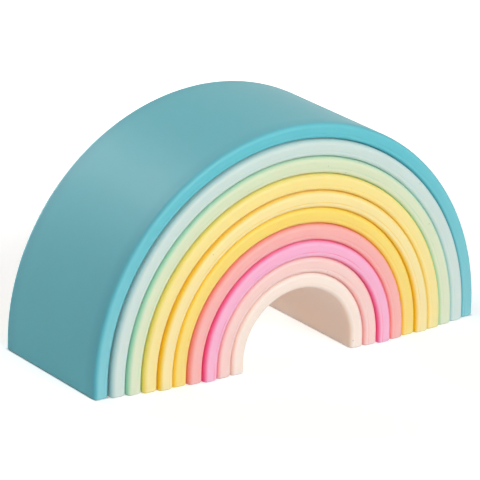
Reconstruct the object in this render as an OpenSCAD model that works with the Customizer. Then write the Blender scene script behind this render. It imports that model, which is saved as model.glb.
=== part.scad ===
// Rainbow stacker: ten loose arches of soft moulded rubber that nest one inside the next.
// X runs across the arch, Y through its depth (the front faces -Y) and Z up from the floor.
// The origin lies on the floor, in the middle of the nest's width and of its whole depth.

/* [Nest] */
// Clear width of the tunnel under the smallest arch
tunnel_w = 73; // [40:0.2:120]
// Radial clearance between one arch and the next
nest_gap = 0.5; // [0.3:0.1:3]
// How far the most forward arch stands in front of the outermost one
stagger = 9.4; // [0:0.2:30]

/* [Arch] */
// Thickness of each arch, from its outer to its inner curve
wall_t = 8.9; // [5:0.1:14]
// Depth of each arch, from its front rim to its back rim
arch_d = 93; // [40:1:140]
// Height of the straight leg below the half circle
leg_h = 6.5; // [2:0.5:40]
// Radius of the rounded rims at the front and the back
rim_r = 2.8; // [1:0.1:3.8]
// Height and width of the bevel round the sole of each foot
foot_bevel = 1; // [0.3:0.1:1.5]

/* [Hidden] */
$fn = 96;
// The arches from the outermost to the innermost
NODES = [
    "teal_arch", "pale_blue_arch", "mint_arch", "pale_yellow_arch", "cream_yellow_arch",
    "golden_arch", "coral_arch", "pink_arch", "blush_arch", "cream_arch"
];
// How far forward each of them stands, as shares of the stagger
forward_shares = [0, 0.29, 0.45, 0.61, 0.78, 0.72, 0.86, 1, 0.92, 0.9];
// Largest share of the wall that one rim's radius may take, and of the rim that the bevel may take
rim_limit_share = 0.45;
bevel_limit_share = 0.6;

pitch = wall_t + nest_gap;
rim = min(rim_r, wall_t * rim_limit_share);
bevel = min(foot_bevel, rim * bevel_limit_share);

// Place of an arch in the nest, counted inwards from the outermost
function place(name) = [for (i = [0 : len(NODES) - 1]) if (NODES[i] == name) i][0];

// Radius of an arch's inner curve
function inner_radius(name) = tunnel_w / 2 + (len(NODES) - 1 - place(name)) * pitch;

// Middle of an arch's depth, with the whole nest's depth centred on the origin
function arch_y(name) = stagger / 2 - stagger * forward_shares[place(name)];

// Section through the wall: a rectangle from the inner curve outwards, with four round corners
module wall_section() {
    translate([rim, -arch_d / 2])
        square([wall_t - 2 * rim, arch_d]);
    translate([0, -arch_d / 2 + rim])
        square([wall_t, arch_d - 2 * rim]);
    for (x = [rim, wall_t - rim], y = [-1, 1] * (arch_d / 2 - rim))
        translate([x, y])
            circle(r = rim);
}

// Half ring above the legs
module crown(radius) {
    translate([0, 0, leg_h])
        rotate([90, 0, 0])
            rotate_extrude(angle = 180)
                translate([radius, 0])
                    wall_section();
}

// Bevelled sole below one straight leg: tapered along both sides and round the four corners
module sole() {
    long_side = arch_d / 2 - rim;
    translate([0, long_side, 0])
        rotate([90, 0, 0])
            linear_extrude(height = 2 * long_side)
                polygon([[bevel, 0], [wall_t - bevel, 0], [wall_t, bevel], [0, bevel]]);
    translate([rim, 0, 0])
        rotate([90, 0, 90])
            linear_extrude(height = wall_t - 2 * rim)
                polygon([
                    [-arch_d / 2 + bevel, 0], [arch_d / 2 - bevel, 0],
                    [arch_d / 2, bevel], [-arch_d / 2, bevel]
                ]);
    for (x = [rim, wall_t - rim], y = [-1, 1] * long_side)
        translate([x, y, 0])
            cylinder(h = bevel, r1 = rim - bevel, r2 = rim);
}

// Straight leg on its sole
module leg(radius) {
    translate([radius, 0, 0]) {
        sole();
        translate([0, 0, bevel])
            linear_extrude(height = leg_h - bevel)
                wall_section();
    }
}

// One whole arch at its place in the nest
module nested_arch(name) {
    radius = inner_radius(name);
    translate([0, arch_y(name), 0]) {
        crown(radius);
        leg(radius);
        mirror([1, 0, 0])
            leg(radius);
    }
}

module teal_arch() {
    color([0.47, 0.78, 0.83])
        nested_arch("teal_arch");
}

module pale_blue_arch() {
    color([0.8, 0.86, 0.84])
        nested_arch("pale_blue_arch");
}

module mint_arch() {
    color([0.84, 0.88, 0.76])
        nested_arch("mint_arch");
}

module pale_yellow_arch() {
    color([1, 0.88, 0.58])
        nested_arch("pale_yellow_arch");
}

module cream_yellow_arch() {
    color([1, 0.89, 0.63])
        nested_arch("cream_yellow_arch");
}

module golden_arch() {
    color([1, 0.85, 0.42])
        nested_arch("golden_arch");
}

module coral_arch() {
    color([1, 0.69, 0.68])
        nested_arch("coral_arch");
}

module pink_arch() {
    color([1, 0.7, 0.81])
        nested_arch("pink_arch");
}

module blush_arch() {
    color([1, 0.82, 0.79])
        nested_arch("blush_arch");
}

module cream_arch() {
    color([1, 0.92, 0.86])
        nested_arch("cream_arch");
}

teal_arch();
pale_blue_arch();
mint_arch();
pale_yellow_arch();
cream_yellow_arch();
golden_arch();
coral_arch();
pink_arch();
blush_arch();
cream_arch();
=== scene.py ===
"""Rainbow stacker: ten nested arches of soft matte rubber on a white studio floor."""
import math

import bpy
import bmesh
from mathutils import Matrix, Vector


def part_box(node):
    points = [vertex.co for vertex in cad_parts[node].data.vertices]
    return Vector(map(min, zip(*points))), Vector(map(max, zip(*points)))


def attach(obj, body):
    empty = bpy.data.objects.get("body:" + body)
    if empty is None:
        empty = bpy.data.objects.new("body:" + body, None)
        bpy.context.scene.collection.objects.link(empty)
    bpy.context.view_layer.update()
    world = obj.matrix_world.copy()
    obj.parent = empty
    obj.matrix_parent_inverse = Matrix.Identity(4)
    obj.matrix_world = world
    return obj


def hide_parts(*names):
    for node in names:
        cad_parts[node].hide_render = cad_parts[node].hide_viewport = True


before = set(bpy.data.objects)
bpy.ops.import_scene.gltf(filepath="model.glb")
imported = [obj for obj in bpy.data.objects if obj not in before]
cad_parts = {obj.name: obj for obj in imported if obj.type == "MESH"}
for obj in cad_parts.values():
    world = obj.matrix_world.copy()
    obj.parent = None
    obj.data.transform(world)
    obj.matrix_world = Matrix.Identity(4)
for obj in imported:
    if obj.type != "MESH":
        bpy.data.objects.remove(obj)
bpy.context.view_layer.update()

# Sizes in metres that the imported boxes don't give: the clearance of the solids and the one that is seen,
# the radii of the rims and of the edges of the soles, and the groove of the mould line
NEST_GAP = 0.0005
TOUCH_GAP = 0.0001
RIM_RADIUS = 0.0028
SOLE_RADIUS = 0.0013
MOULD_LINE_WIDTH = 0.0005
MOULD_LINE_DEPTH = 0.00012

# Fineness of the meshes: steps in each part of a section, and the length of a step round the arch
RIM_STEPS = 10
SOLE_STEPS = 5
FACE_STEPS = 4
SIDE_STEPS = 10
LEG_STEPS = 3
ARC_STEP = 0.0022

# The photograph's view: its frame and lens, and where the camera stands and how it is turned
IMAGE_PX = 480
FOCAL_PX = 4049
SENSOR_MM = 36
VIEW_AZIMUTH = math.radians(-35.16)
VIEW_ELEVATION = math.radians(19.53)
VIEW_ROLL = math.radians(1.52)
VIEW_DISTANCE = 2.2903
VIEW_TARGET_Z = 0.065
VIEW_SLIDE = (-0.00316, -0.00892)

# Colours as they look in plain light, from the outermost arch inwards
FACES = {
    "teal_arch": (102, 195, 206),
    "pale_blue_arch": (203, 220, 215),
    "mint_arch": (214, 224, 193),
    "pale_yellow_arch": (255, 224, 146),
    "cream_yellow_arch": (255, 225, 159),
    "golden_arch": (255, 215, 103),
    "coral_arch": (255, 175, 171),
    "pink_arch": (255, 174, 206),
    "blush_arch": (255, 205, 199),
    "cream_arch": (255, 227, 215),
}
# Painted crease shade: deeper colours of their rims and walls in the creases, standing in for the shade there
# and the light bounced and scattered into it
CREASE_SHADES = {
    "teal_arch": (15, 138, 152),
    "pale_blue_arch": (182, 213, 213),
    "mint_arch": (166, 221, 190),
    "pale_yellow_arch": (255, 220, 112),
    "cream_yellow_arch": (255, 200, 25),
    "golden_arch": (255, 205, 55),
    "coral_arch": (255, 148, 142),
    "pink_arch": (255, 95, 152),
    "blush_arch": (250, 180, 180),
    "cream_arch": (255, 216, 202),
}
# Painted shade on the rounded outer rim of the outermost arch
OUTER_RIM_SHADE = (92, 183, 197)
# Painted warm shade of light bounced round the tunnel, on the inner wall of the innermost arch
TUNNEL_WALL_SHADE = (255, 225, 209)
WHITE = (1, 1, 1, 1)
# How far the painted crease shade reaches from a crease at the crown and beside the legs, how far behind the
# rim it fades out, and its strength at the crown
CROWN_SHADE_REACH = 0.001
LEG_SHADE_REACH = 0.0024
SHADE_DEPTH = 0.006
CROWN_SHADE = 0.5
# Shares of the wall between which the outer painted crease shade gives way to the inner one
SHADE_CHANGE = (0.4, 0.6)
# Painted light from the white floor: a paler tone of the feet, the height at which it ends, and the share of
# the wall over which it sets in
FOOT_PAINTED_LIGHT = 0.15
PAINTED_LIGHT_HEIGHT = 0.11
PAINTED_LIGHT_START = 0.3
# A deeper-coloured line along the mould line: its place and width across the wall, the clouds it lies in, and
# its strength
MOULD_LINE_PLACE = 0.67
MOULD_LINE_REACH = 0.05
MOULD_LINE_CLOUDS = (0.4, 0.6)
MOULD_LINE_DEEPENING = 0.6

# The rubber: how it bends and scatters light, its sheen and its range of roughness
RUBBER_IOR = 1.41
SCATTER_RADIUS = (1.0, 0.85, 0.7)
SCATTER_DEPTH = 0.005
SHEEN = 0.05
SHEEN_ROUGHNESS = 0.4
ROUGHNESS = (0.45, 0.54)
# Soft clouds in its colour and roughness
CLOUD_SCALE = 45
CLOUD_DETAIL = 4
CLOUD_ROUGHNESS = 0.55
CLOUD_TONES = (0.97, 1.03)
# Fine moulded grain
GRAIN_SCALE = 2200
GRAIN_DETAIL = 3
GRAIN_STRENGTH = 0.06
GRAIN_HEIGHT = 0.0002
# Sparse lint: specks with a soft edge
LINT_SCALE = 90
LINT_EDGE = (0.05, 0.03)
LINT_STRENGTH = 0.5
LINT_COLOR = (0.35, 0.34, 0.33, 1)

# The floor, and its lift towards white where it is seen: near the nest, and the distances from which it
# rises and at which it is full
FLOOR_HALF = 6
FLOOR_COLOR = (0.9, 0.9, 0.9, 1)
FLOOR_ROUGHNESS = 0.9
FLOOR_NEAR_LIFT = 0.42
FLOOR_NEAR = 0.25
FLOOR_FAR = 0.8
# Light of the surroundings on the nest
FILL_LIGHT = 0.22
# Lamps: direction from the nest, distance and size in metres, and watts
LAMPS = {
    "front_lamp": ((0.0, -0.87, 0.5), 2.0, 1.2, 28.5),
    "back_left_lamp": ((-0.225, 0.77, 0.6), 1.5, 0.5, 6.1),
    "back_lamp": ((-0.2, 0.97, 0.12), 0.65, 0.18, 1.5),
}


def linear(rgb):
    """Linear colour of an 8-bit screen colour."""
    def one(value):
        share = value / 255
        return share / 12.92 if share <= 0.04045 else ((share + 0.055) / 1.055) ** 2.4
    return (*(one(value) for value in rgb), 1)


def wall_ring(wall, depth, inset):
    """Closed section through the wall as (distance in from the outer curve, y) points, drawn in by inset."""
    radius = RIM_RADIUS - inset
    near, far = RIM_RADIUS, wall - RIM_RADIUS
    front, back = RIM_RADIUS - depth / 2, depth / 2 - RIM_RADIUS
    half = MOULD_LINE_WIDTH / 2
    line = far - half

    def corner(centre_s, centre_y, start):
        for i in range(RIM_STEPS + 1):
            angle = start + math.pi / 2 * i / RIM_STEPS
            yield centre_s + radius * math.cos(angle), centre_y + radius * math.sin(angle)

    def between(a, b, steps):
        for i in range(1, steps):
            t = i / steps
            yield a[0] + (b[0] - a[0]) * t, a[1] + (b[1] - a[1]) * t

    ring = []
    ring += corner(near, front, math.pi)
    ring += between((near, front - radius), (line - half, front - radius), FACE_STEPS)
    ring += [(line - half, front - radius), (line, front - radius + MOULD_LINE_DEPTH)]
    ring += corner(far, front, -math.pi / 2)
    ring += between((far + radius, front), (far + radius, back), SIDE_STEPS)
    ring += corner(far, back, 0)
    ring += between((far, back + radius), (near, back + radius), FACE_STEPS)
    ring += corner(near, back, math.pi / 2)
    ring += between((near - radius, back), (near - radius, front), SIDE_STEPS)
    return ring


def crease_shade_share(s, wall, behind, lean, tunnel):
    """Share of the painted crease shade at a point: 0 on the face, most in the creases beside the legs (lean
    1).
    """
    reach = CROWN_SHADE_REACH + (LEG_SHADE_REACH - CROWN_SHADE_REACH) * lean
    edge = max(0, 1 - min(s, wall - s) / reach)
    share = edge * edge * (3 - 2 * edge)
    if tunnel and s > wall / 2:
        return share
    share *= CROWN_SHADE + (1 - CROWN_SHADE) * lean
    return share * max(0, 1 - max(0, behind - RIM_RADIUS) / SHADE_DEPTH)


def arch_stations(outer, leg):
    """Stations from the right sole over the crown to the left one: direction out, centre height, inset."""
    sole = []
    for i in range(SOLE_STEPS + 1):
        turn = math.pi / 2 * i / SOLE_STEPS
        sole.append((SOLE_RADIUS * (1 - math.cos(turn)), SOLE_RADIUS * (1 - math.sin(turn))))
    for i in range(1, LEG_STEPS):
        sole.append((SOLE_RADIUS + (leg - SOLE_RADIUS) * i / LEG_STEPS, 0))
    steps = round(math.pi * outer / ARC_STEP)
    for height, inset in sole:
        yield 1, 0, height, inset
    for i in range(steps + 1):
        angle = math.pi * i / steps
        yield math.cos(angle), math.sin(angle), leg, 0
    for height, inset in reversed(sole):
        yield -1, 0, height, inset


def make_arch(node, wall, tunnel):
    """Swept mesh of one arch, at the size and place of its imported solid."""
    low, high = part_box(node)
    outer = high.x
    depth = high.y - low.y
    middle = (high.y + low.y) / 2
    leg = high.z - outer
    mesh = bpy.data.meshes.new(node + "_skin")
    made = bmesh.new()
    across = made.verts.layers.float.new("across")
    # Share of the painted crease shade at each vertex
    crease_shade = made.verts.layers.float.new("crease_shade")
    rings = []
    for out_x, out_z, height, inset in arch_stations(outer, leg):
        ring = []
        for s, y in wall_ring(wall, depth, inset):
            reach = outer - s
            vert = made.verts.new((out_x * reach, middle + y, height + out_z * reach))
            vert[across] = s / wall
            vert[crease_shade] = crease_shade_share(s, wall, depth / 2 - abs(y), abs(out_x), tunnel)
            ring.append(vert)
        rings.append(ring)
    for first, second in zip(rings, rings[1:]):
        count = len(first)
        for i in range(count):
            j = (i + 1) % count
            made.faces.new((first[i], first[j], second[j], second[i]))
    made.faces.new(rings[0])
    made.faces.new(rings[-1])
    bmesh.ops.recalc_face_normals(made, faces=made.faces)
    for face in made.faces:
        face.smooth = len(face.verts) == 4
    made.to_mesh(mesh)
    made.free()
    arch = bpy.data.objects.new(node + "_skin", mesh)
    bpy.context.scene.collection.objects.link(arch)
    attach(arch, node)
    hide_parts(node)
    return arch


def add_node(tree, kind, **values):
    """New shader node with its settings and the plain values of its inputs."""
    made = tree.nodes.new(kind)
    for name, value in values.items():
        if hasattr(made, name):
            setattr(made, name, value)
        else:
            made.inputs[name].default_value = value
    return made


def span(tree, value, low, high, to_low=0, to_high=1):
    """Value carried from one range to another."""
    made = add_node(tree, "ShaderNodeMapRange")
    made.inputs["From Min"].default_value = low
    made.inputs["From Max"].default_value = high
    made.inputs["To Min"].default_value = to_low
    made.inputs["To Max"].default_value = to_high
    tree.links.new(value, made.inputs["Value"])
    return made.outputs["Result"]


def blend(tree, share, first, second):
    """Mix of two colours, each a plain colour or the output of a node."""
    made = add_node(tree, "ShaderNodeMix", data_type="RGBA")
    tree.links.new(share, made.inputs[0])
    for socket, color in ((made.inputs[6], first), (made.inputs[7], second)):
        if isinstance(color, tuple):
            socket.default_value = color
        else:
            tree.links.new(color, socket)
    return made.outputs[2]


def product(tree, first, second):
    """Product of two values, each a plain number or the output of a node."""
    made = add_node(tree, "ShaderNodeMath", operation="MULTIPLY")
    for socket, value in zip(made.inputs, (first, second)):
        if isinstance(value, (int, float)):
            socket.default_value = value
        else:
            tree.links.new(value, socket)
    return made.outputs["Value"]


def within(tree, value, centre, reach):
    """Factor that is 1 where a value lies within reach of a centre."""
    made = add_node(tree, "ShaderNodeMath", operation="COMPARE")
    tree.links.new(value, made.inputs[0])
    made.inputs[1].default_value = centre
    made.inputs[2].default_value = reach
    return made.outputs["Value"]


def rubber(name, face, outer_shade, inner_shade):
    """Soft matte moulded rubber: even colour, with painted shade deeper in tight creases, painted floor light
    paler at the feet, a deeper line along the mould line, fine grain and a little lint.
    """
    material = bpy.data.materials.new(name)
    material.use_nodes = True
    tree = material.node_tree
    link = tree.links.new
    shader = tree.nodes["Principled BSDF"]
    shader.inputs["IOR"].default_value = RUBBER_IOR
    shader.inputs["Subsurface Weight"].default_value = 1
    shader.inputs["Subsurface Radius"].default_value = SCATTER_RADIUS
    shader.inputs["Subsurface Scale"].default_value = SCATTER_DEPTH
    shader.inputs["Sheen Weight"].default_value = SHEEN
    shader.inputs["Sheen Roughness"].default_value = SHEEN_ROUGHNESS

    place = add_node(tree, "ShaderNodeTexCoord").outputs["Object"]
    across = add_node(tree, "ShaderNodeAttribute", attribute_name="across").outputs["Fac"]
    noise = add_node(tree, "ShaderNodeTexNoise", Scale=CLOUD_SCALE, Detail=CLOUD_DETAIL,
                     Roughness=CLOUD_ROUGHNESS)
    link(place, noise.inputs["Vector"])
    cloud = noise.outputs["Fac"]

    axes = add_node(tree, "ShaderNodeSeparateXYZ")
    link(place, axes.inputs["Vector"])
    # Painted light from the white floor: the feet paler towards the soles
    painted_floor_light = span(tree, axes.outputs["Z"], 0, PAINTED_LIGHT_HEIGHT, FOOT_PAINTED_LIGHT, 0)
    on_face = span(tree, across, 0, PAINTED_LIGHT_START)
    color = blend(tree, product(tree, painted_floor_light, on_face), linear(face), WHITE)

    # Painted crease shade, changing from the outer to the inner shade colour across the wall
    crease_shade = add_node(tree, "ShaderNodeAttribute", attribute_name="crease_shade").outputs["Fac"]
    crease_shade_color = blend(tree, span(tree, across, *SHADE_CHANGE), linear(outer_shade), linear(inner_shade))
    color = blend(tree, crease_shade, color, crease_shade_color)

    # A deeper line along the mould line, in the outer crease shade colour, patchy in the clouds
    on_line = within(tree, across, MOULD_LINE_PLACE, MOULD_LINE_REACH / 2)
    patchy = span(tree, cloud, *MOULD_LINE_CLOUDS, 0, MOULD_LINE_DEEPENING)
    color = blend(tree, product(tree, on_line, patchy), color, linear(outer_shade))
    vary = add_node(tree, "ShaderNodeVectorMath", operation="SCALE")
    link(color, vary.inputs[0])
    link(span(tree, cloud, 0, 1, *CLOUD_TONES), vary.inputs["Scale"])

    lint = add_node(tree, "ShaderNodeTexVoronoi", Scale=LINT_SCALE)
    link(place, lint.inputs["Vector"])
    speck = product(tree, span(tree, lint.outputs["Distance"], *LINT_EDGE), LINT_STRENGTH)
    link(blend(tree, speck, vary.outputs["Vector"], LINT_COLOR), shader.inputs["Base Color"])

    link(span(tree, cloud, 0, 1, *ROUGHNESS), shader.inputs["Roughness"])
    grain = add_node(tree, "ShaderNodeTexNoise", Scale=GRAIN_SCALE, Detail=GRAIN_DETAIL)
    link(place, grain.inputs["Vector"])
    bump = add_node(tree, "ShaderNodeBump", Strength=GRAIN_STRENGTH, Distance=GRAIN_HEIGHT)
    link(grain.outputs["Fac"], bump.inputs["Height"])
    link(bump.outputs["Normal"], shader.inputs["Normal"])
    return material


def make_arches():
    """All arches, each in its own rubber."""
    names = list(FACES)
    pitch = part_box(names[0])[1].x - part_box(names[1])[1].x
    for name in names:
        tunnel = name == names[-1]
        arch = make_arch(name, pitch - (NEST_GAP if tunnel else TOUCH_GAP), tunnel)
        # Painted crease shade colours for the outer and inner sides of each arch
        outer_shade = OUTER_RIM_SHADE if name == names[0] else CREASE_SHADES[name]
        inner_shade = TUNNEL_WALL_SHADE if tunnel else CREASE_SHADES[name]
        arch.data.materials.append(rubber(name + "_rubber", FACES[name], outer_shade, inner_shade))


def seen_directly(tree):
    """Factor that is 1 for camera, glossy and transmission rays."""
    path = add_node(tree, "ShaderNodeLightPath")
    most = add_node(tree, "ShaderNodeMath", operation="MAXIMUM")
    last = add_node(tree, "ShaderNodeMath", operation="MAXIMUM")
    tree.links.new(path.outputs["Is Camera Ray"], most.inputs[0])
    tree.links.new(path.outputs["Is Glossy Ray"], most.inputs[1])
    tree.links.new(most.outputs["Value"], last.inputs[0])
    tree.links.new(path.outputs["Is Transmission Ray"], last.inputs[1])
    return last.outputs["Value"]


def clear_of_soles(tree, place):
    """Factor that is 0 under the soles of the outermost arch, where the floor stays dark, and 1 elsewhere."""
    low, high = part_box("teal_arch")
    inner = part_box("pale_blue_arch")[1].x
    axes = add_node(tree, "ShaderNodeSeparateXYZ")
    tree.links.new(place, axes.inputs["Vector"])
    side = add_node(tree, "ShaderNodeMath", operation="ABSOLUTE")
    tree.links.new(axes.outputs["X"], side.inputs[0])
    in_width = within(tree, side.outputs["Value"], (high.x + inner) / 2, (high.x - inner) / 2)
    in_depth = within(tree, axes.outputs["Y"], (high.y + low.y) / 2, (high.y - low.y) / 2)
    return span(tree, product(tree, in_width, in_depth), 0, 1, 1, 0)


def make_floor():
    """Wide pale floor at the height of the soles, white to the camera and shaded where the arches stand."""
    mesh = bpy.data.meshes.new("floor")
    corners = [(-1, -1), (1, -1), (1, 1), (-1, 1)]
    mesh.from_pydata([(x * FLOOR_HALF, y * FLOOR_HALF, 0) for x, y in corners], [], [(0, 1, 2, 3)])
    floor = bpy.data.objects.new("floor", mesh)
    bpy.context.scene.collection.objects.link(floor)
    material = bpy.data.materials.new("floor_white")
    material.use_nodes = True
    tree = material.node_tree
    shader = tree.nodes["Principled BSDF"]
    shader.inputs["Base Color"].default_value = FLOOR_COLOR
    shader.inputs["Roughness"].default_value = FLOOR_ROUGHNESS
    shader.inputs["Specular IOR Level"].default_value = 0
    shader.inputs["Emission Color"].default_value = WHITE
    reach = add_node(tree, "ShaderNodeVectorMath", operation="LENGTH")
    place = add_node(tree, "ShaderNodeTexCoord").outputs["Object"]
    tree.links.new(place, reach.inputs[0])
    lift = span(tree, reach.outputs["Value"], FLOOR_NEAR, FLOOR_FAR, FLOOR_NEAR_LIFT, 1)
    lift = product(tree, lift, clear_of_soles(tree, place))
    tree.links.new(product(tree, seen_directly(tree), lift), shader.inputs["Emission Strength"])
    mesh.materials.append(material)


def make_world():
    """White surroundings: plain fill light, and white where they are seen."""
    world = bpy.data.worlds.new("studio")
    world.use_nodes = True
    bpy.context.scene.world = world
    tree = world.node_tree
    background = tree.nodes["Background"]
    background.inputs["Color"].default_value = WHITE
    tree.links.new(span(tree, seen_directly(tree), 0, 1, FILL_LIGHT, 1), background.inputs["Strength"])


def make_lamp(name, toward, distance, size, watts):
    """Soft square lamp that stands in the given direction from the nest and shines on it."""
    data = bpy.data.lights.new(name, "AREA")
    data.shape = "SQUARE"
    data.size = size
    data.energy = watts
    lamp = bpy.data.objects.new(name, data)
    direction = Vector(toward).normalized()
    lamp.location = direction * distance
    lamp.rotation_mode = "QUATERNION"
    lamp.rotation_quaternion = (-direction).to_track_quat("-Z", "Y")
    bpy.context.scene.collection.objects.link(lamp)


def make_camera():
    """Camera at the photograph's place."""
    low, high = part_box("teal_arch")
    back = Vector((
        math.sin(VIEW_AZIMUTH) * math.cos(VIEW_ELEVATION),
        -math.cos(VIEW_AZIMUTH) * math.cos(VIEW_ELEVATION),
        math.sin(VIEW_ELEVATION),
    ))
    level = Vector((math.cos(VIEW_AZIMUTH), math.sin(VIEW_AZIMUTH), 0))
    upright = back.cross(level)
    right = level * math.cos(VIEW_ROLL) + upright * math.sin(VIEW_ROLL)
    up = upright * math.cos(VIEW_ROLL) - level * math.sin(VIEW_ROLL)
    target = Vector((0, (low.y + high.y) / 2, VIEW_TARGET_Z))
    eye = target + right * VIEW_SLIDE[0] + up * VIEW_SLIDE[1] + back * VIEW_DISTANCE
    data = bpy.data.cameras.new("camera")
    data.sensor_width = SENSOR_MM
    data.lens = SENSOR_MM * FOCAL_PX / IMAGE_PX
    camera = bpy.data.objects.new("camera", data)
    turn = Matrix((right, up, back)).transposed()
    camera.matrix_world = Matrix.Translation(eye) @ turn.to_4x4()
    bpy.context.scene.collection.objects.link(camera)
    bpy.context.scene.camera = camera


bpy.context.scene.view_settings.view_transform = "Standard"
make_camera()
make_arches()
make_floor()
make_world()
for lamp_name, lamp_values in LAMPS.items():
    make_lamp(lamp_name, *lamp_values)
